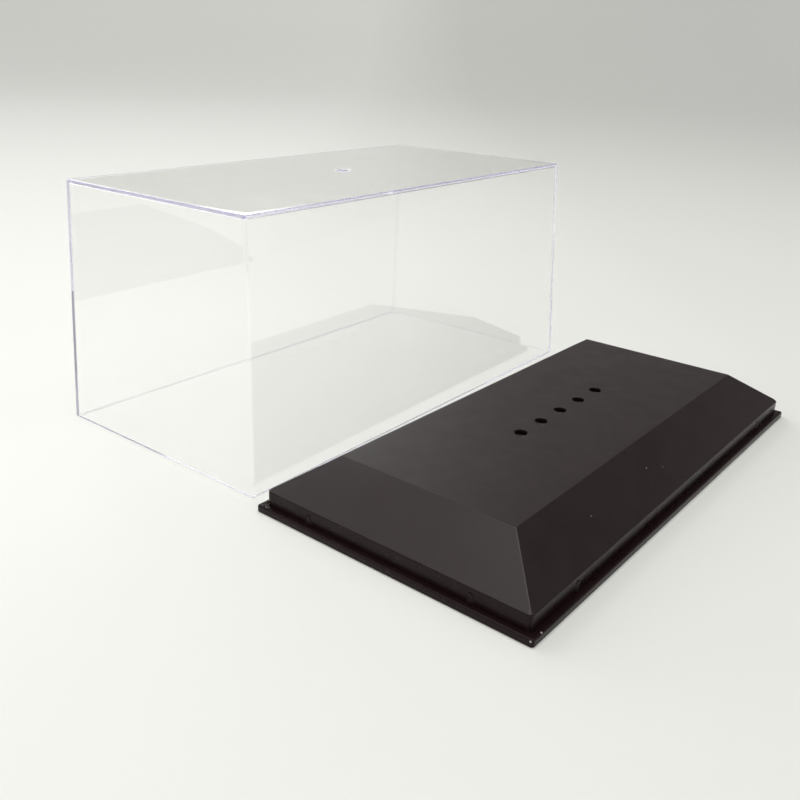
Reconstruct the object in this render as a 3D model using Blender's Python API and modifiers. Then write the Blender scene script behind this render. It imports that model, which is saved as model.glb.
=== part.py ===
"""A two-piece display case for a scale model, taken apart.

The black base lies at the front, and the clear cover that fits over it stands behind it. Both are
thin plastic mouldings. Metres, +Z up: X runs along the case, Y from the base to the cover, and the
origin is the middle of their common footprint, on the surface that both stand on.
"""

from collections import namedtuple
from math import copysign, cos, radians, sin, tan

import bmesh
import bpy

# Base: the flange that the cover stands on.
FLANGE_LENGTH = 0.240
FLANGE_WIDTH = 0.122
FLANGE_HEIGHT = 0.0027
FLANGE_EDGE_RADIUS = 0.0008
FLANGE_CORNER_RADIUS = 0.0007
LEDGE = 0.0028                  # from the flange's edge to the plinth's wall
GROOVE_WIDTH = 0.0009           # shallow groove in the ledge, at the foot of the plinth's wall
GROOVE_DEPTH = 0.0003

# Base: the plinth, an upright wall below four slopes that rise to a flat deck.
SHOULDER_HEIGHT = 0.0085        # top of the upright wall
DECK_HEIGHT = 0.0227
DECK_INSET_ENDS = 0.0231        # from the flange's edge to the deck's edge
DECK_INSET_SIDES = 0.0226
PLINTH_CORNER_RADIUS = 0.0012
SHOULDER_RADIUS = 0.0004
HIP_RADIUS = 0.0006
DECK_EDGE_RADIUS = 0.0004
BASE_WALL = 0.0020

# Base: screw holes along the deck's middle, and centring ribs on the plinth's wall.
HOLE_COUNT = 5
HOLE_PITCH = 0.016
HOLE_DIAMETER = 0.0054
RIB_FROM_CORNER_ALONG = 0.032   # from the flange's corner to a rib on a long wall
RIB_FROM_CORNER_ACROSS = 0.025  # from the flange's corner to a rib on an end wall
RIB_FOOT_WIDTH = 0.0030
RIB_TOP_WIDTH = 0.0020
RIB_TOP_HEIGHT = 0.0065
RIB_FOOT_PROUD = 0.0005
RIB_TOP_PROUD = 0.0003

# Cover: four drafted walls and a top panel.
COVER_LENGTH = 0.2388
COVER_WIDTH = 0.1208
COVER_HEIGHT = 0.1087
COVER_WALL = 0.0015
COVER_DRAFT = radians(2.7)
COVER_OUTER_RADIUS = 0.0009
COVER_INNER_RADIUS = 0.0004
GATE_DIAMETER = 0.0080          # round gate mark in the middle of the top panel
GATE_HEIGHT = 0.0008

# Layout: where the cover stands beside the base.
GAP = 0.0105                    # between the flange and the cover's rim, halfway along
SHIFT = 0.0038                  # the cover's middle is this far along X from the base's
TURN = radians(1.1)             # the cover stands this much askew, about +Z

OVERLAP = 0.0010                # how far joined shapes reach into each other, and cutters past a face
ROUND_SEGMENTS = 4
HOLE_SIDES = 32
GATE_SIDES = 48
SHARP_ANGLE = radians(30)

Tier = namedtuple("Tier", "length width height rim_radius corner_radius")


def clear_scene():
    for thing in list(bpy.data.objects):
        bpy.data.objects.remove(thing, do_unlink=True)


def new_collection(name):
    collection = bpy.data.collections.new(name)
    bpy.context.scene.collection.children.link(collection)
    return collection


def plastic(name, colour, roughness, transmission=0.0, ior=1.5):
    material = bpy.data.materials.new(name)
    material.use_nodes = True
    shader = material.node_tree.nodes["Principled BSDF"]
    shader.inputs["Base Color"].default_value = (*colour, 1.0)
    shader.inputs["Roughness"].default_value = roughness
    shader.inputs["Metallic"].default_value = 0.0
    shader.inputs["Transmission Weight"].default_value = transmission
    shader.inputs["IOR"].default_value = ior
    material.diffuse_color = (*colour, 1.0)
    return material


def object_from(mesh_builder, name, collection):
    mesh = bpy.data.meshes.new(name)
    mesh_builder.to_mesh(mesh)
    mesh_builder.free()
    thing = bpy.data.objects.new(name, mesh)
    collection.objects.link(thing)
    return thing


def place_corners(vertices, tier):
    for vertex in vertices:
        vertex.co.x = copysign(tier.length / 2, vertex.co.x)
        vertex.co.y = copysign(tier.width / 2, vertex.co.y)
        vertex.co.z = tier.height


def tiered_block(name, tiers, collection):
    """A solid that rises through rectangular tiers, from the lowest to the highest.

    A tier's rim_radius rounds the horizontal edges at its height, and its corner_radius rounds the
    four edges that rise from it to the next tier.
    """
    block = bmesh.new()
    bmesh.ops.create_cube(block, size=1.0)
    rings = [[v for v in block.verts if v.co.z < 0], [v for v in block.verts if v.co.z > 0]]
    top = max(block.faces, key=lambda face: face.calc_center_median().z)
    for _ in tiers[2:]:
        top = bmesh.ops.extrude_discrete_faces(block, faces=[top])["faces"][0]
        rings.append(list(top.verts))
    for ring, tier in zip(rings, tiers):
        place_corners(ring, tier)

    weights = block.edges.layers.float.new("bevel_weight_edge")
    level = {vertex: number for number, ring in enumerate(rings) for vertex in ring}
    largest = max(max(tier.rim_radius, tier.corner_radius) for tier in tiers)
    for edge in block.edges:
        low, high = sorted(level[vertex] for vertex in edge.verts)
        radius = tiers[low].rim_radius if low == high else tiers[low].corner_radius
        edge[weights] = radius / largest if largest else 0.0

    thing = object_from(block, name, collection)
    if largest:
        bevel = thing.modifiers.new("rounded edges", "BEVEL")
        bevel.limit_method = "WEIGHT"
        bevel.width = largest
        bevel.segments = ROUND_SEGMENTS
        bevel.use_clamp_overlap = False
    return thing


def upright_cylinder(name, diameter, low, high, sides, collection):
    cylinder = bmesh.new()
    radius = diameter / 2
    bmesh.ops.create_cone(cylinder, cap_ends=True, segments=sides, radius1=radius,
                          radius2=radius, depth=high - low)
    bmesh.ops.translate(cylinder, verts=cylinder.verts, vec=(0, 0, (low + high) / 2))
    thing = object_from(cylinder, name, collection)
    thing.data.shade_smooth()
    thing.data.set_sharp_from_angle(angle=SHARP_ANGLE)
    return thing


def combine(thing, other, operation):
    """Joins another solid to this one, or cuts it away, both standing at the same place."""
    other.hide_render = True
    other.display_type = "WIRE"
    other.parent = thing
    boolean = thing.modifiers.new(f"{operation.lower()} {other.name}", "BOOLEAN")
    boolean.operation = operation
    boolean.solver = "EXACT"
    boolean.object = other


def plinth_size(height, inward=0.0):
    """Length and width of the plinth at a height, or of a shape that far inward on every side."""
    rise = max(height - SHOULDER_HEIGHT, 0.0) / (DECK_HEIGHT - SHOULDER_HEIGHT)
    inset_ends = LEDGE + rise * (DECK_INSET_ENDS - LEDGE) + inward
    inset_sides = LEDGE + rise * (DECK_INSET_SIDES - LEDGE) + inward
    return FLANGE_LENGTH - 2 * inset_ends, FLANGE_WIDTH - 2 * inset_sides


def make_plinth(collection):
    wall = plinth_size(SHOULDER_HEIGHT)
    deck = plinth_size(DECK_HEIGHT)
    tiers = [
        Tier(*wall, FLANGE_HEIGHT - OVERLAP, 0.0, PLINTH_CORNER_RADIUS),
        Tier(*wall, SHOULDER_HEIGHT, SHOULDER_RADIUS, HIP_RADIUS),
        Tier(*deck, DECK_HEIGHT, DECK_EDGE_RADIUS, 0.0),
    ]
    return tiered_block("plinth", tiers, collection)


def make_groove(collection):
    length, width = plinth_size(SHOULDER_HEIGHT, -GROOVE_WIDTH)
    tiers = [
        Tier(length, width, FLANGE_HEIGHT - GROOVE_DEPTH, 0.0, PLINTH_CORNER_RADIUS),
        Tier(length, width, FLANGE_HEIGHT + OVERLAP, 0.0, 0.0),
    ]
    return tiered_block("groove", tiers, collection)


def make_hollow(collection):
    """The space under the base: the plinth's shape, a wall's thickness smaller.

    Half a wall's thickness inward at the ceiling, and down at the shoulder, leaves the slopes about
    as thick as the wall and the deck.
    """
    foot = plinth_size(SHOULDER_HEIGHT, BASE_WALL)
    ceiling = plinth_size(DECK_HEIGHT, BASE_WALL / 2)
    shoulder = SHOULDER_HEIGHT - BASE_WALL / 2
    tiers = [
        Tier(*foot, -OVERLAP, 0.0, 0.0),
        Tier(*foot, shoulder, 0.0, 0.0),
        Tier(*ceiling, DECK_HEIGHT - BASE_WALL, 0.0, 0.0),
    ]
    return tiered_block("hollow", tiers, collection)


def make_hole(number, collection):
    low = DECK_HEIGHT - BASE_WALL - OVERLAP
    high = DECK_HEIGHT + OVERLAP
    hole = upright_cylinder(f"hole_{number + 1}", HOLE_DIAMETER, low, high, HOLE_SIDES, collection)
    hole.location.x = (number - (HOLE_COUNT - 1) / 2) * HOLE_PITCH
    return hole


def make_rib(name, distance_out, turn, along, collection):
    """A tapered rib on a plinth wall, distance_out from the middle, turned about Z to face out."""
    rib = bmesh.new()
    bmesh.ops.create_cube(rib, size=1.0)
    for vertex in rib.verts:
        at_foot = vertex.co.z < 0
        half_width = (RIB_FOOT_WIDTH if at_foot else RIB_TOP_WIDTH) / 2
        proud = RIB_FOOT_PROUD if at_foot else RIB_TOP_PROUD
        vertex.co.x = distance_out + (proud if vertex.co.x > 0 else -OVERLAP)
        vertex.co.y = along + copysign(half_width, vertex.co.y)
        vertex.co.z = FLANGE_HEIGHT - OVERLAP if at_foot else RIB_TOP_HEIGHT
    thing = object_from(rib, name, collection)
    thing.rotation_euler.z = turn
    return thing


def make_ribs(collection):
    length, width = plinth_size(SHOULDER_HEIGHT)
    offset_along = FLANGE_LENGTH / 2 - RIB_FROM_CORNER_ALONG
    offset_across = FLANGE_WIDTH / 2 - RIB_FROM_CORNER_ACROSS
    walls = [
        ("right", length / 2, radians(0), offset_across),
        ("back", width / 2, radians(90), offset_along),
        ("left", length / 2, radians(180), offset_across),
        ("front", width / 2, radians(270), offset_along),
    ]
    ribs = []
    for side, distance_out, turn, offset in walls:
        for number, along in enumerate((-offset, offset), start=1):
            ribs.append(make_rib(f"rib_{side}_{number}", distance_out, turn, along, collection))
    return ribs


def make_base(parts, cutters):
    tiers = [
        Tier(FLANGE_LENGTH, FLANGE_WIDTH, 0.0, 0.0, FLANGE_CORNER_RADIUS),
        Tier(FLANGE_LENGTH, FLANGE_WIDTH, FLANGE_HEIGHT, FLANGE_EDGE_RADIUS, 0.0),
    ]
    base = tiered_block("base", tiers, parts)
    combine(base, make_groove(cutters), "DIFFERENCE")
    combine(base, make_plinth(cutters), "UNION")
    for rib in make_ribs(cutters):
        combine(base, rib, "UNION")
    combine(base, make_hollow(cutters), "DIFFERENCE")
    for number in range(HOLE_COUNT):
        combine(base, make_hole(number, cutters), "DIFFERENCE")
    base.data.materials.append(plastic("black_plastic", (0.020, 0.016, 0.016), 0.35))
    return base


def cover_size(height, inward=0.0):
    """Length and width of the cover at a height, or of its inside, one wall's thickness inward."""
    inset = height * tan(COVER_DRAFT) + inward / cos(COVER_DRAFT)
    return COVER_LENGTH - 2 * inset, COVER_WIDTH - 2 * inset


def make_cavity(collection):
    low = -OVERLAP
    high = COVER_HEIGHT - COVER_WALL
    radius = COVER_INNER_RADIUS
    tiers = [
        Tier(*cover_size(low, COVER_WALL), low, 0.0, radius),
        Tier(*cover_size(high, COVER_WALL), high, radius, 0.0),
    ]
    return tiered_block("cavity", tiers, collection)


def make_gate(collection):
    low = COVER_HEIGHT - COVER_WALL / 2
    high = COVER_HEIGHT + GATE_HEIGHT
    return upright_cylinder("gate", GATE_DIAMETER, low, high, GATE_SIDES, collection)


def make_cover(parts, cutters):
    radius = COVER_OUTER_RADIUS
    tiers = [
        Tier(*cover_size(0.0), 0.0, 0.0, radius),
        Tier(*cover_size(COVER_HEIGHT), COVER_HEIGHT, radius, 0.0),
    ]
    cover = tiered_block("clear_cover", tiers, parts)
    combine(cover, make_cavity(cutters), "DIFFERENCE")
    combine(cover, make_gate(cutters), "UNION")
    cover.data.materials.append(plastic("clear_plastic", (0.96, 0.96, 0.98), 0.02, 1.0, 1.59))
    return cover


def turned_half_size(length, width, corner_radius):
    """Half the X and Y extents of the cover's rim, an upright rectangle turned by TURN."""
    half_length = length / 2 - corner_radius
    half_width = width / 2 - corner_radius
    half_x = half_length * cos(TURN) + half_width * sin(TURN) + corner_radius
    half_y = half_length * sin(TURN) + half_width * cos(TURN) + corner_radius
    return half_x, half_y


def lay_out(base, cover):
    """Centres the common footprint of the two pieces on the origin, the cover behind the base."""
    half_x, half_y = turned_half_size(COVER_LENGTH, COVER_WIDTH, COVER_OUTER_RADIUS)
    cover_from_base_y = (FLANGE_WIDTH + COVER_WIDTH) / 2 + GAP
    middle_x = (SHIFT + half_x - FLANGE_LENGTH / 2) / 2
    middle_y = (cover_from_base_y + half_y - FLANGE_WIDTH / 2) / 2
    base.location = (-middle_x, -middle_y, 0.0)
    cover.location = (SHIFT - middle_x, cover_from_base_y - middle_y, 0.0)
    cover.rotation_euler.z = TURN


def main():
    clear_scene()
    parts = new_collection("display_case")
    cutters = new_collection("cutters")
    lay_out(make_base(parts, cutters), make_cover(parts, cutters))


main()
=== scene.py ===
"""Looks of the two-piece display case: a black base at the front, its clear cover behind it.

Each CAD solid is replaced by a finer piece of the same size, built as one closed shell. Metres, +Z
up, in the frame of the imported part.
"""

from collections import namedtuple
from math import cos, pi, radians, sin, tan

import bmesh
import bpy
from mathutils import Matrix, Quaternion, Vector


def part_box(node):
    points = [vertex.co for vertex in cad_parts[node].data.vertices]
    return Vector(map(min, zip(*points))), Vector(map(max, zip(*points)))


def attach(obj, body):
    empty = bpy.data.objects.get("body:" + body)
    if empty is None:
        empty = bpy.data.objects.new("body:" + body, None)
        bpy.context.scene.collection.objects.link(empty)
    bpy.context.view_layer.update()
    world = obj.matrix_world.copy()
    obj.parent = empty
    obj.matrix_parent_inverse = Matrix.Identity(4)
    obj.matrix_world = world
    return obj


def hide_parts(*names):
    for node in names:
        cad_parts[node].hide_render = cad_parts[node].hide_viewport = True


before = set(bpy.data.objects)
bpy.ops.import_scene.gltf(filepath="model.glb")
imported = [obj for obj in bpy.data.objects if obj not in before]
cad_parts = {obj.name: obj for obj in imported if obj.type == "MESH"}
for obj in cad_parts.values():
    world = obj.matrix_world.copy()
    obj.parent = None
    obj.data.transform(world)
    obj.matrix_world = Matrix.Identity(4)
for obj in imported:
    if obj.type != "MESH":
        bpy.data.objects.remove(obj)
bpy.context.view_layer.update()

# Base.
FLANGE_LENGTH = 0.240
FLANGE_WIDTH = 0.122
FLANGE_HEIGHT = 0.0027
FLANGE_ROUNDING = 0.0008
FLANGE_CORNER = 0.0011
LEDGE = 0.0028                      # from the flange's edge to the plinth's wall
GROOVE_WIDTH = 0.0009
GROOVE_DEPTH = 0.0003
GROOVE_ROUNDING = 0.0002
SHOULDER_HEIGHT = 0.0085
DECK_HEIGHT = 0.0227
DECK_INSET_ENDS = 0.0231
DECK_INSET_SIDES = 0.0226
PLINTH_CORNER = 0.0018
HIP_CORNER = 0.0003
HIP_START = 0.08                    # share of the slope over which the corner narrows to the hip
SHOULDER_ROUNDING = 0.0006
DECK_ROUNDING = 0.0004
BASE_WALL = 0.0020
BASE_INNER_ROUNDING = 0.0004
BASE_INNER_CORNER = 0.0008
CEILING_CORNER = 0.0006
HOLE_COUNT = 5
HOLE_PITCH = 0.016
HOLE_DIAMETER = 0.0054
HOLE_RIM = 0.00022                  # rounding of both rims of a hole
RIB_FROM_CORNER_ALONG = 0.032
RIB_FROM_CORNER_ACROSS = 0.025
RIB_FOOT_WIDTH = 0.0030
RIB_TOP_WIDTH = 0.0020
RIB_TOP_HEIGHT = 0.0065
RIB_FOOT_PROUD = 0.0005
RIB_TOP_PROUD = 0.0003
RIB_NOSE_SHARE = 0.55               # width of a rib's flat front, as a share of the rib's width there

# Cover.
COVER_LENGTH = 0.2388
COVER_WIDTH = 0.1208
COVER_HEIGHT = 0.1087
COVER_WALL = 0.0015
COVER_DRAFT = radians(2.7)
COVER_CORNER = 0.0010
COVER_ROUNDING = 0.0009
COVER_INNER_CORNER = 0.0005
COVER_INNER_ROUNDING = 0.0004
COVER_FOOT_ROUNDING = 0.0006        # of the rim's inner edge
COVER_TURN = radians(1.1)
GATE_RADIUS = 0.0040
GATE_HEIGHT = 0.0008
GATE_ROUNDING = 0.0006

# How finely curves are drawn.
EDGE_ROUNDING = 0.00012             # on edges that the mould leaves nearly sharp
CORNER_STEPS = 10
ROUNDING_STEPS = 6
ROUND_SIDES = 64
FLAT_MARGIN = 0.004                 # a flat face's own ring lies this far in from its edge
OVERLAP = 0.0006                    # how far joined shapes reach into each other, and cutters out
SHARP_ANGLE = radians(32)
LEVEL = 0.9                         # a face is level if its normal has this much of Z

# Colours, linear. Pairs are the two ends of a mottle.
TEXTURED_BLACKS = ((0.0125, 0.0045, 0.0050), (0.0155, 0.0065, 0.0070))
# The smooth finish's deeper black is painted shade on the rim and in the screw holes.
SMOOTH_PAINTED_SHADE_BLACKS = ((0.0105, 0.0042, 0.0048), (0.0130, 0.0058, 0.0064))
PLASTIC_TINT = (0.58, 0.55, 0.92)
PLASTIC_TINT_DENSITY = 1.6
# The floor's colours are painted light: brightest to the left, where the light comes from, and darker to
# the right.
FLOOR_PAINTED_LIGHT_LEFT = (0.93, 0.935, 0.885)
FLOOR_PAINTED_LIGHT_MIDDLE = (0.79, 0.790, 0.745)
FLOOR_PAINTED_LIGHT_RIGHT = (0.72, 0.720, 0.690)

# Marks on the base.
DUST_COLOUR = (0.30, 0.28, 0.27)
# Two small pale spots at one corner of the flange, lighter than the plastic round them.
PALE_SPOT_COLOUR = (0.42, 0.40, 0.38)
PALE_SPOT_RADIUS = 0.00045
PALE_SPOTS = (                          # on the flange, from the middle of the base's underside
    (-0.1146, -0.0606, 0.0026),
    (-0.1200, -0.0600, 0.0020),
)

# Camera.
VIEW_AZIMUTH = radians(38.4164)     # from +X towards +Y
VIEW_PITCH = radians(22.522)        # down
VIEW_ROLL = radians(2.1013)
VIEW_FROM = (-0.31366, -0.22536, 0.16660)
LENS = 38.73
SENSOR_WIDTH = 36.0

# Floor: a flat disc with a rim that curves up.
FLOOR_RADIUS = 2.4
FLOOR_RIM_RUN = 1.8
FLOOR_RIM_RISE = 0.9
FLOOR_RIM_STEPS = 12
FLOOR_SIDES = 96
FLOOR_HUB = 0.02                    # radius of the face at its middle
STANDING_GAP = 0.0002               # under the feet, so that light reaches the cover's bottom edge

# Light: (azimuth, elevation, cosine where the lobe ends, strength) of the world's broad soft lobes.
WORLD_LOBES = (
    (75, 12, 0.70, 2.60),
    (250, 60, 0.50, 0.56),
    (160, 30, 0.40, 0.54),
    (215, 25, 0.00, 0.17),
    (30, 8, 0.85, 0.15),
    (60, 40, 0.70, 0.10),
)
WORLD_FILL = 0.10
SOFTBOX_SIZE = 1.0
SOFTBOX_HEIGHT = 1.4
SOFTBOX_POWER = 7.2
LIGHT_BOUNCES = 512                 # light may run a long way inside the clear walls

Station = namedtuple("Station", "inset_ends inset_sides height rounding corner")


# ---------------------------------------------------------------- shapes

def rounded_corner(before, at, after, radius):
    """Points along the arc that rounds the profile's corner, from the side of before to after."""
    if radius <= 0.0:
        return [at]
    back = (before - at).normalized()
    ahead = (after - at).normalized()
    half_turn = (pi - back.angle(ahead)) / 2
    start = at + back * (radius * tan(half_turn))
    centre = at + (back + ahead).normalized() * (radius / cos(half_turn))
    first = start - centre
    side = first.orthogonal()
    if side.dot(at - centre) < 0:
        side = -side
    points = []
    for step in range(ROUNDING_STEPS + 1):
        angle = 2 * half_turn * step / ROUNDING_STEPS
        points.append(centre + first * cos(angle) + side * sin(angle))
    return points


def rounded_profile(corners):
    """Rounds a profile of (point, rounding, plan radius) corners, except for its two ends.

    Gives (point, plan radius) pairs, where a point is (inset, height).
    """
    first, _, first_radius = corners[0]
    last, _, last_radius = corners[-1]
    points = [(first, first_radius)]
    for before, here, after in zip(corners, corners[1:], corners[2:]):
        at, rounding, radius = here
        for point in rounded_corner(before[0], at, after[0], rounding):
            points.append((point, max(radius - (point.x - at.x), EDGE_ROUNDING)))
    points.append((last, last_radius))
    return points


def ring_points(half_length, half_width, end_height, side_height, corner):
    """Points round a rounded rectangle, anticlockwise from the middle of its +X side."""
    points = []
    for quarter in range(4):
        sign_x = 1 if quarter in (0, 3) else -1
        sign_y = 1 if quarter in (0, 1) else -1
        for step in range(CORNER_STEPS + 1):
            share = step / CORNER_STEPS
            angle = (quarter + share) * pi / 2
            to_side = share if quarter in (0, 2) else 1 - share
            points.append((
                sign_x * (half_length - corner) + corner * cos(angle),
                sign_y * (half_width - corner) + corner * sin(angle),
                end_height + (side_height - end_height) * to_side,
            ))
    return points


def object_from(builder, name):
    bmesh.ops.recalc_face_normals(builder, faces=builder.faces)
    mesh = bpy.data.meshes.new(name)
    builder.to_mesh(mesh)
    builder.free()
    thing = bpy.data.objects.new(name, mesh)
    bpy.context.scene.collection.objects.link(thing)
    return thing


def add_bands(builder, rings):
    """Adds the faces between each ring of points and the next. Gives the rings' vertices."""
    vertex_rings = [[builder.verts.new(point) for point in ring] for ring in rings]
    for ring, next_ring in zip(vertex_rings, vertex_rings[1:]):
        for number in range(len(ring)):
            after = (number + 1) % len(ring)
            builder.faces.new((ring[number], ring[after], next_ring[after], next_ring[number]))
    return vertex_rings


def loft(name, rings):
    """A closed solid through rings of points, with a flat face over the first and the last."""
    builder = bmesh.new()
    vertex_rings = add_bands(builder, rings)
    builder.faces.new(vertex_rings[0])
    builder.faces.new(vertex_rings[-1])
    return object_from(builder, name)


def shell(name, length, width, stations):
    """A thin-walled moulding: its profile runs from the inside's top to the outside's top."""
    ends = [(Vector((s.inset_ends, s.height)), s.rounding, s.corner) for s in stations]
    sides = [(Vector((s.inset_sides, s.height)), s.rounding, s.corner) for s in stations]
    rings = []
    for (end, corner), (side, _) in zip(rounded_profile(ends), rounded_profile(sides)):
        rings.append(ring_points(length / 2 - end.x, width / 2 - side.x, end.y, side.y, corner))
    return loft(name, rings)


def circle(radius, height, sides):
    """Points round a circle about Z."""
    angles = [2 * pi * number / sides for number in range(sides)]
    return [(radius * cos(angle), radius * sin(angle), height) for angle in angles]


def turned(name, profile):
    """A solid of revolution about Z through (radius, height) points."""
    return loft(name, [circle(radius, height, ROUND_SIDES) for radius, height in profile])


def quarter_angles(steps):
    """Angles from 0 to a right angle."""
    return [step / steps * pi / 2 for step in range(steps + 1)]


def joined(things, name):
    """The things' meshes in one object, each where it stands."""
    builder = bmesh.new()
    for thing in things:
        mesh = thing.data
        mesh.transform(thing.matrix_basis)
        builder.from_mesh(mesh)
        bpy.data.objects.remove(thing)
    return object_from(builder, name)


def combine(thing, other, operation):
    """Joins other to thing, or cuts it away, and removes other."""
    boolean = thing.modifiers.new(operation.lower(), "BOOLEAN")
    boolean.operation = operation
    boolean.solver = "EXACT"
    boolean.object = other
    graph = bpy.context.evaluated_depsgraph_get()
    mesh = bpy.data.meshes.new_from_object(thing.evaluated_get(graph), depsgraph=graph)
    thing.modifiers.clear()
    thing.data = mesh
    bpy.data.objects.remove(other)


def shade(thing, *materials):
    """Smooth roundings between flat faces, with sharp edges kept. Every face takes the first material."""
    thing.data.materials.clear()
    for material in materials:
        thing.data.materials.append(material)
    for face in thing.data.polygons:
        face.material_index = 0
    thing.data.shade_smooth()
    thing.data.set_sharp_from_angle(angle=SHARP_ANGLE)
    normals = thing.modifiers.new("flat faces stay flat", "WEIGHTED_NORMAL")
    normals.mode = "FACE_AREA"
    normals.weight = 100
    normals.keep_sharp = True


# ---------------------------------------------------------------- base

def make_rib(number, side_turn, distance_out, along):
    """One centring rib, a wedge that is wider and prouder at its foot."""
    foot, top = RIB_FOOT_WIDTH / 2, RIB_TOP_WIDTH / 2
    low = FLANGE_HEIGHT - GROOVE_DEPTH - OVERLAP
    rings = []
    for half, proud, height in ((foot, RIB_FOOT_PROUD, low), (top, RIB_TOP_PROUD, RIB_TOP_HEIGHT)):
        outer = distance_out + proud
        inner = distance_out - OVERLAP
        nose = half * RIB_NOSE_SHARE
        rings.append([
            (inner, along - half, height),
            (distance_out, along - half, height),
            (outer, along - nose, height),
            (outer, along + nose, height),
            (distance_out, along + half, height),
            (inner, along + half, height),
        ])
    rib = loft(f"rib_{number}", rings)
    rib.data.transform(Matrix.Rotation(side_turn, 4, "Z"))
    return rib


def make_ribs():
    half_length = FLANGE_LENGTH / 2
    half_width = FLANGE_WIDTH / 2
    across = half_width - RIB_FROM_CORNER_ACROSS
    along = half_length - RIB_FROM_CORNER_ALONG
    ribs = []
    for quarter in range(4):
        distance_out = (half_length if quarter % 2 == 0 else half_width) - LEDGE
        offset = across if quarter % 2 == 0 else along
        for sign in (-1, 1):
            ribs.append(make_rib(len(ribs), quarter * pi / 2, distance_out, sign * offset))
    return joined(ribs, "ribs")


def hole_profile():
    """(radius, height) points up a screw hole's cutter, with both of the hole's rims rounded."""
    radius = HOLE_DIAMETER / 2
    ceiling = DECK_HEIGHT - BASE_WALL
    profile = [(radius + 2 * HOLE_RIM, ceiling - OVERLAP)]
    for angle in quarter_angles(2):
        profile.append((
            radius + HOLE_RIM * (1 - sin(angle)),
            ceiling + HOLE_RIM * (1 - cos(angle)),
        ))
    for angle in quarter_angles(4):
        profile.append((
            radius + HOLE_RIM * (1 - cos(angle)),
            DECK_HEIGHT - HOLE_RIM * (1 - sin(angle)),
        ))
    profile.append((radius + 2 * HOLE_RIM, DECK_HEIGHT + OVERLAP))
    return profile


def make_hole_cutters():
    cutters = []
    for number in range(HOLE_COUNT):
        cutter = turned(f"hole_{number}", hole_profile())
        along = (number - (HOLE_COUNT - 1) / 2) * HOLE_PITCH
        cutter.data.transform(Matrix.Translation((along, 0, 0)))
        cutters.append(cutter)
    return joined(cutters, "holes")


def give_smooth_finish_painted_shade(base):
    """The rim below the shoulder and the walls of the screw holes take the second material, whose deeper
    black and weaker reflection are painted shade there.
    """
    for face in base.data.polygons:
        in_rim = face.center.z < SHOULDER_HEIGHT + EDGE_ROUNDING
        in_hole = (abs(face.center.y) < HOLE_DIAMETER / 2 + OVERLAP
                   and abs(face.center.x) < HOLE_COUNT / 2 * HOLE_PITCH
                   and abs(face.normal.z) < LEVEL)
        face.material_index = 1 if in_rim or in_hole else 0


def slope_station(share, corner):
    """A point part of the way up the slopes, from the shoulder to the deck."""
    return Station(
        LEDGE + (DECK_INSET_ENDS - LEDGE) * share,
        LEDGE + (DECK_INSET_SIDES - LEDGE) * share,
        SHOULDER_HEIGHT + (DECK_HEIGHT - SHOULDER_HEIGHT) * share,
        0.0,
        corner,
    )


def make_base(textured, smooth):
    groove_floor = FLANGE_HEIGHT - GROOVE_DEPTH
    groove_edge = LEDGE - GROOVE_WIDTH
    inside = LEDGE + BASE_WALL
    half_wall = BASE_WALL / 2
    edge = EDGE_ROUNDING
    stations = [
        # Inside, from the ceiling down.
        Station(DECK_INSET_ENDS + FLAT_MARGIN, DECK_INSET_SIDES + FLAT_MARGIN,
                DECK_HEIGHT - BASE_WALL, 0, edge),
        Station(DECK_INSET_ENDS + half_wall, DECK_INSET_SIDES + half_wall,
                DECK_HEIGHT - BASE_WALL, BASE_INNER_ROUNDING, CEILING_CORNER),
        Station(inside, inside, SHOULDER_HEIGHT - half_wall, BASE_INNER_ROUNDING, BASE_INNER_CORNER),
        Station(inside, inside, 0.0, edge, BASE_INNER_CORNER),
        # Outside, from the foot up.
        Station(0.0, 0.0, 0.0, edge, FLANGE_CORNER),
        Station(0.0, 0.0, FLANGE_HEIGHT, FLANGE_ROUNDING, FLANGE_CORNER),
        Station(groove_edge, groove_edge, FLANGE_HEIGHT, GROOVE_ROUNDING, PLINTH_CORNER + GROOVE_WIDTH),
        Station(groove_edge, groove_edge, groove_floor, 0.0, PLINTH_CORNER + GROOVE_WIDTH),
        Station(LEDGE, LEDGE, groove_floor, 0.0, PLINTH_CORNER),
        Station(LEDGE, LEDGE, SHOULDER_HEIGHT, SHOULDER_ROUNDING, PLINTH_CORNER),
        slope_station(HIP_START, HIP_CORNER),
        Station(DECK_INSET_ENDS, DECK_INSET_SIDES, DECK_HEIGHT, DECK_ROUNDING, HIP_CORNER),
        Station(DECK_INSET_ENDS + FLAT_MARGIN, DECK_INSET_SIDES + FLAT_MARGIN, DECK_HEIGHT, 0, edge),
    ]
    base = shell("base_moulding", FLANGE_LENGTH, FLANGE_WIDTH, stations)
    combine(base, make_ribs(), "UNION")
    combine(base, make_hole_cutters(), "DIFFERENCE")
    shade(base, textured, smooth)
    give_smooth_finish_painted_shade(base)
    low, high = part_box("base")
    base.location = ((low.x + high.x) / 2, (low.y + high.y) / 2, low.z)
    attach(base, "base")
    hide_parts("base")


# ---------------------------------------------------------------- cover

def make_gate():
    """The gate's mark: a low disc with a rounded edge."""
    profile = [(GATE_RADIUS, COVER_HEIGHT - COVER_WALL / 2)]
    for angle in quarter_angles(ROUNDING_STEPS):
        profile.append((
            GATE_RADIUS - GATE_ROUNDING * (1 - cos(angle)),
            COVER_HEIGHT + GATE_HEIGHT - GATE_ROUNDING * (1 - sin(angle)),
        ))
    return turned("gate", profile)


def cover_station(height, inward, rounding, corner, extra=0.0):
    """A point on the drafted wall: inward is how deep it lies in the wall, square to its face."""
    inset = height * tan(COVER_DRAFT) + inward / cos(COVER_DRAFT) + extra
    return Station(inset, inset, height, rounding, corner)


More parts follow.
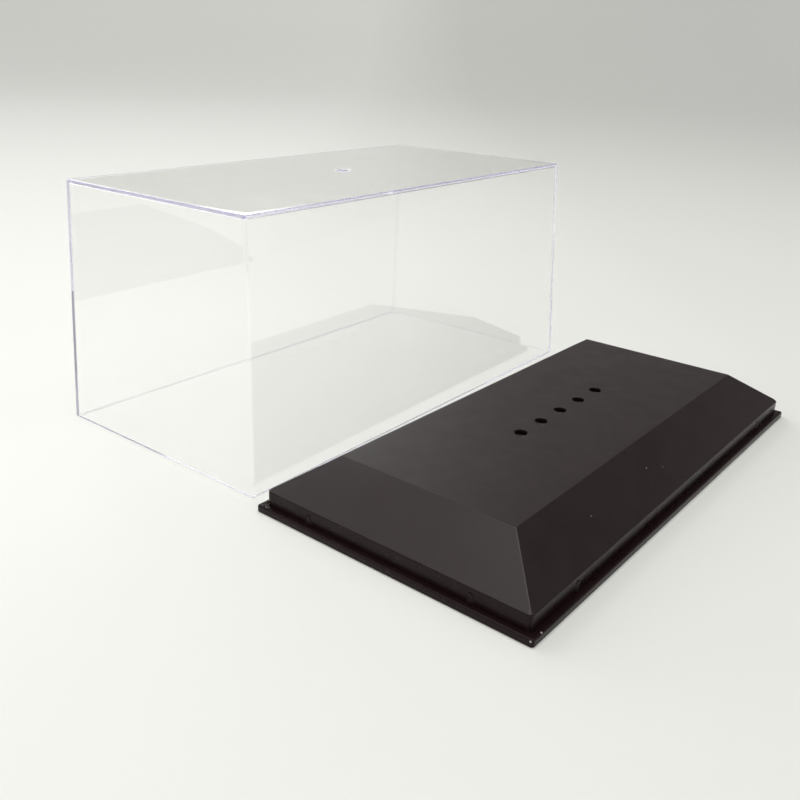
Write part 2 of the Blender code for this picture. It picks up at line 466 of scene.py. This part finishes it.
def make_cover(material):
    edge = EDGE_ROUNDING
    ceiling = COVER_HEIGHT - COVER_WALL
    stations = [
        # Inside, from the ceiling down.
        cover_station(ceiling, COVER_WALL, 0, edge, extra=FLAT_MARGIN),
        cover_station(ceiling, COVER_WALL, COVER_INNER_ROUNDING, COVER_INNER_CORNER),
        cover_station(0.0, COVER_WALL, COVER_FOOT_ROUNDING, COVER_INNER_CORNER),
        # Outside, from the foot up.
        cover_station(0.0, 0.0, edge, COVER_CORNER),
        cover_station(COVER_HEIGHT, 0.0, COVER_ROUNDING, COVER_CORNER),
        cover_station(COVER_HEIGHT, 0.0, 0, edge, extra=FLAT_MARGIN),
    ]
    cover = shell("cover_moulding", COVER_LENGTH, COVER_WIDTH, stations)
    combine(cover, make_gate(), "UNION")
    shade(cover, material)
    low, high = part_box("clear_cover")
    cover.location = ((low.x + high.x) / 2, (low.y + high.y) / 2, low.z)
    cover.rotation_euler.z = COVER_TURN
    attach(cover, "cover")
    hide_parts("clear_cover")


# ---------------------------------------------------------------- materials

def new_material(name):
    material = bpy.data.materials.new(name)
    material.use_nodes = True
    return material, material.node_tree.nodes, material.node_tree.links


def noise(nodes, links, coordinates, scale, detail=2.0, roughness=0.5):
    node = nodes.new("ShaderNodeTexNoise")
    node.inputs["Scale"].default_value = scale
    node.inputs["Detail"].default_value = detail
    node.inputs["Roughness"].default_value = roughness
    links.new(coordinates, node.inputs["Vector"])
    return node.outputs["Fac"]


def mapped(nodes, links, value, source, target=(0.0, 1.0)):
    """The value, moved from the source range to the target range and held inside it."""
    node = nodes.new("ShaderNodeMapRange")
    node.inputs["From Min"].default_value = source[0]
    node.inputs["From Max"].default_value = source[1]
    node.inputs["To Min"].default_value = target[0]
    node.inputs["To Max"].default_value = target[1]
    links.new(value, node.inputs["Value"])
    return node.outputs["Result"]


def bump(nodes, links, height, distance, normal=None):
    node = nodes.new("ShaderNodeBump")
    node.inputs["Distance"].default_value = distance
    node.inputs["Strength"].default_value = 1.0
    links.new(height, node.inputs["Height"])
    if normal is not None:
        links.new(normal, node.inputs["Normal"])
    return node.outputs["Normal"]


def mixed_colour(nodes, links, share, first, second):
    """A mix of two colours, each a tuple or another node's output. Sockets 6, 7 and 2 are colours."""
    node = nodes.new("ShaderNodeMix")
    node.data_type = "RGBA"
    for socket, colour in ((node.inputs[6], first), (node.inputs[7], second)):
        if isinstance(colour, tuple):
            socket.default_value = (*colour, 1.0)
        else:
            links.new(colour, socket)
    links.new(share, node.inputs[0])
    return node.outputs[2]


def dust_mask(nodes, links, place):
    """Where the rare specks of dust lie."""
    specks = nodes.new("ShaderNodeTexVoronoi")
    specks.feature = "F1"
    specks.inputs["Scale"].default_value = 210.0
    links.new(place, specks.inputs["Vector"])
    near = mapped(nodes, links, specks.outputs["Distance"], (0.09, 0.06))
    pick = nodes.new("ShaderNodeSeparateColor")
    links.new(specks.outputs["Color"], pick.inputs["Color"])
    chosen = mapped(nodes, links, pick.outputs["Red"], (0.965, 0.970))
    dust = nodes.new("ShaderNodeMath")
    dust.operation = "MULTIPLY"
    links.new(near, dust.inputs[0])
    links.new(chosen, dust.inputs[1])
    return dust.outputs["Value"]


def textured_black_plastic():
    """Black styrene off the spark-eroded part of the mould, with a few specks of dust."""
    material, nodes, links = new_material("black_plastic_textured")
    shader = nodes["Principled BSDF"]
    place = nodes.new("ShaderNodeTexCoord").outputs["Object"]
    mottle = mapped(nodes, links, noise(nodes, links, place, scale=35.0, detail=3.0), (0.3, 0.7))
    colour = mixed_colour(nodes, links, mottle, *TEXTURED_BLACKS)
    dust = dust_mask(nodes, links, place)
    colour = mixed_colour(nodes, links, dust, colour, DUST_COLOUR)
    links.new(colour, shader.inputs["Base Color"])

    wear = noise(nodes, links, place, scale=120.0, detail=4.0, roughness=0.6)
    links.new(mapped(nodes, links, wear, (0.3, 0.7), (0.36, 0.44)), shader.inputs["Roughness"])

    grain = noise(nodes, links, place, scale=1500.0, detail=3.0, roughness=0.7)
    fine = bump(nodes, links, grain, distance=0.00003)
    ripple = noise(nodes, links, place, scale=26.0)
    links.new(bump(nodes, links, ripple, distance=0.00008, normal=fine), shader.inputs["Normal"])
    shader.inputs["IOR"].default_value = 1.5
    return material


def smooth_black_plastic_painted_shade():
    """The same plastic off polished steel, with painted shade: a deeper black and a weaker reflection on
    the rim and in the screw holes; two small pale spots at one corner.
    """
    material, nodes, links = new_material("black_plastic_smooth_painted_shade")
    shader = nodes["Principled BSDF"]
    place = nodes.new("ShaderNodeTexCoord").outputs["Object"]
    mottle = mapped(nodes, links, noise(nodes, links, place, scale=60.0, detail=3.0), (0.3, 0.7))
    colour = mixed_colour(nodes, links, mottle, *SMOOTH_PAINTED_SHADE_BLACKS)
    for spot in PALE_SPOTS:
        reach = nodes.new("ShaderNodeVectorMath")
        reach.operation = "DISTANCE"
        reach.inputs[1].default_value = spot
        links.new(place, reach.inputs[0])
        share = mapped(nodes, links, reach.outputs["Value"], (PALE_SPOT_RADIUS, PALE_SPOT_RADIUS / 2))
        colour = mixed_colour(nodes, links, share, colour, PALE_SPOT_COLOUR)
    links.new(colour, shader.inputs["Base Color"])

    wear = noise(nodes, links, place, scale=120.0, detail=4.0, roughness=0.6)
    links.new(mapped(nodes, links, wear, (0.3, 0.7), (0.24, 0.34)), shader.inputs["Roughness"])
    ripple = noise(nodes, links, place, scale=90.0, detail=3.0)
    links.new(bump(nodes, links, ripple, distance=0.00003), shader.inputs["Normal"])
    shader.inputs["IOR"].default_value = 1.5
    # The weak reflection is painted shade on the rim and in the screw holes.
    shader.inputs["Specular IOR Level"].default_value = 0.16
    return material


def clear_plastic():
    """Clear styrene with the faint waviness of a moulding; its own tint shows where it is deep."""
    material, nodes, links = new_material("clear_plastic_moulded")
    shader = nodes["Principled BSDF"]
    place = nodes.new("ShaderNodeTexCoord").outputs["Object"]
    shader.inputs["Base Color"].default_value = (1.0, 1.0, 1.0, 1.0)
    shader.inputs["Transmission Weight"].default_value = 1.0
    shader.inputs["IOR"].default_value = 1.57

    haze = noise(nodes, links, place, scale=45.0, detail=4.0, roughness=0.6)
    links.new(mapped(nodes, links, haze, (0.35, 0.75), (0.0, 0.012)), shader.inputs["Roughness"])
    flow = noise(nodes, links, place, scale=14.0)
    links.new(bump(nodes, links, flow, distance=0.00005), shader.inputs["Normal"])

    absorption = nodes.new("ShaderNodeVolumeAbsorption")
    absorption.inputs["Color"].default_value = (*PLASTIC_TINT, 1.0)
    absorption.inputs["Density"].default_value = PLASTIC_TINT_DENSITY
    links.new(absorption.outputs["Volume"], nodes["Material Output"].inputs["Volume"])
    return material


def pale_floor_painted_light():
    """Near-white paper with painted light: a little brighter to the left of the object than to the right,
    with painted shade to the right.
    """
    material, nodes, links = new_material("pale_floor_painted_light")
    shader = nodes["Principled BSDF"]
    place = nodes.new("ShaderNodeTexCoord").outputs["Object"]
    across = nodes.new("ShaderNodeVectorMath")
    across.operation = "DOT_PRODUCT"
    across.inputs[1].default_value = (sin(VIEW_AZIMUTH), -cos(VIEW_AZIMUTH), 0.0)
    links.new(place, across.inputs[0])
    near = mapped(nodes, links, across.outputs["Value"], (-0.20, 0.20))
    far = mapped(nodes, links, across.outputs["Value"], (0.20, 1.30))
    colour = mixed_colour(nodes, links, near, FLOOR_PAINTED_LIGHT_LEFT, FLOOR_PAINTED_LIGHT_MIDDLE)
    colour = mixed_colour(nodes, links, far, colour, FLOOR_PAINTED_LIGHT_RIGHT)
    links.new(colour, shader.inputs["Base Color"])
    shader.inputs["Roughness"].default_value = 0.6
    shader.inputs["Specular IOR Level"].default_value = 0.2
    return material


# ---------------------------------------------------------------- stage

def make_floor():
    """A wide flat floor that sweeps up at its rim, the same from every side."""
    rings = [circle(FLOOR_HUB, -STANDING_GAP, FLOOR_SIDES)]
    for angle in quarter_angles(FLOOR_RIM_STEPS):
        radius = FLOOR_RADIUS + FLOOR_RIM_RUN * sin(angle)
        height = FLOOR_RIM_RISE * (1 - cos(angle)) - STANDING_GAP
        rings.append(circle(radius, height, FLOOR_SIDES))
    builder = bmesh.new()
    vertex_rings = add_bands(builder, rings)
    builder.faces.new(vertex_rings[0])
    floor = object_from(builder, "floor")
    floor.data.flip_normals()
    floor.data.shade_smooth()
    floor.data.materials.append(pale_floor_painted_light())


def direction(azimuth, elevation):
    """The unit vector that way, in degrees, azimuth from +X towards +Y."""
    azimuth = radians(azimuth)
    elevation = radians(elevation)
    return Vector((
        cos(azimuth) * cos(elevation),
        sin(azimuth) * cos(elevation),
        sin(elevation),
    ))


def make_world():
    """A room of broad soft lobes of light, with nothing sharp for the plastic to mirror."""
    world = bpy.data.worlds.new("world")
    bpy.context.scene.world = world
    world.use_nodes = True
    nodes, links = world.node_tree.nodes, world.node_tree.links
    way = nodes.new("ShaderNodeTexCoord").outputs["Generated"]
    total = nodes.new("ShaderNodeValue").outputs["Value"]
    total.default_value = WORLD_FILL
    for azimuth, elevation, end, strength in WORLD_LOBES:
        facing = nodes.new("ShaderNodeVectorMath")
        facing.operation = "DOT_PRODUCT"
        facing.inputs[1].default_value = direction(azimuth, elevation)
        links.new(way, facing.inputs[0])
        lobe = nodes.new("ShaderNodeMapRange")
        lobe.interpolation_type = "SMOOTHSTEP"
        lobe.inputs["From Min"].default_value = end
        lobe.inputs["To Max"].default_value = strength
        links.new(facing.outputs["Value"], lobe.inputs["Value"])
        add = nodes.new("ShaderNodeMath")
        links.new(total, add.inputs[0])
        links.new(lobe.outputs["Result"], add.inputs[1])
        total = add.outputs["Value"]
    background = nodes["Background"]
    background.inputs["Color"].default_value = (1.0, 1.0, 1.0, 1.0)
    links.new(total, background.inputs["Strength"])


def make_softbox():
    """A square softbox overhead."""
    data = bpy.data.lights.new("overhead", "AREA")
    data.shape = "SQUARE"
    data.size = SOFTBOX_SIZE
    data.energy = SOFTBOX_POWER
    light = bpy.data.objects.new("overhead", data)
    bpy.context.scene.collection.objects.link(light)
    light.location = (0.0, 0.0, SOFTBOX_HEIGHT)
    light.visible_camera = False


def make_camera():
    forward = Vector((
        cos(VIEW_PITCH) * cos(VIEW_AZIMUTH),
        cos(VIEW_PITCH) * sin(VIEW_AZIMUTH),
        -sin(VIEW_PITCH),
    ))
    data = bpy.data.cameras.new("camera")
    data.lens = LENS
    data.sensor_width = SENSOR_WIDTH
    data.clip_start = 0.01
    camera = bpy.data.objects.new("camera", data)
    bpy.context.scene.collection.objects.link(camera)
    camera.location = VIEW_FROM
    camera.rotation_mode = "QUATERNION"
    camera.rotation_quaternion = (forward.to_track_quat("-Z", "Y")
                                  @ Quaternion((0.0, 0.0, 1.0), VIEW_ROLL))
    bpy.context.scene.camera = camera


def set_light_paths():
    """Light passes the clear walls unblurred, and may run a long way inside them."""
    paths = bpy.context.scene.cycles
    paths.blur_glossy = 0.0
    paths.max_bounces = LIGHT_BOUNCES
    paths.transmission_bounces = LIGHT_BOUNCES
    paths.glossy_bounces = LIGHT_BOUNCES


def main():
    make_base(textured_black_plastic(), smooth_black_plastic_painted_shade())
    make_cover(clear_plastic())
    make_floor()
    make_world()
    make_softbox()
    make_camera()
    set_light_paths()
    bpy.context.scene.view_settings.view_transform = "Standard"


main()
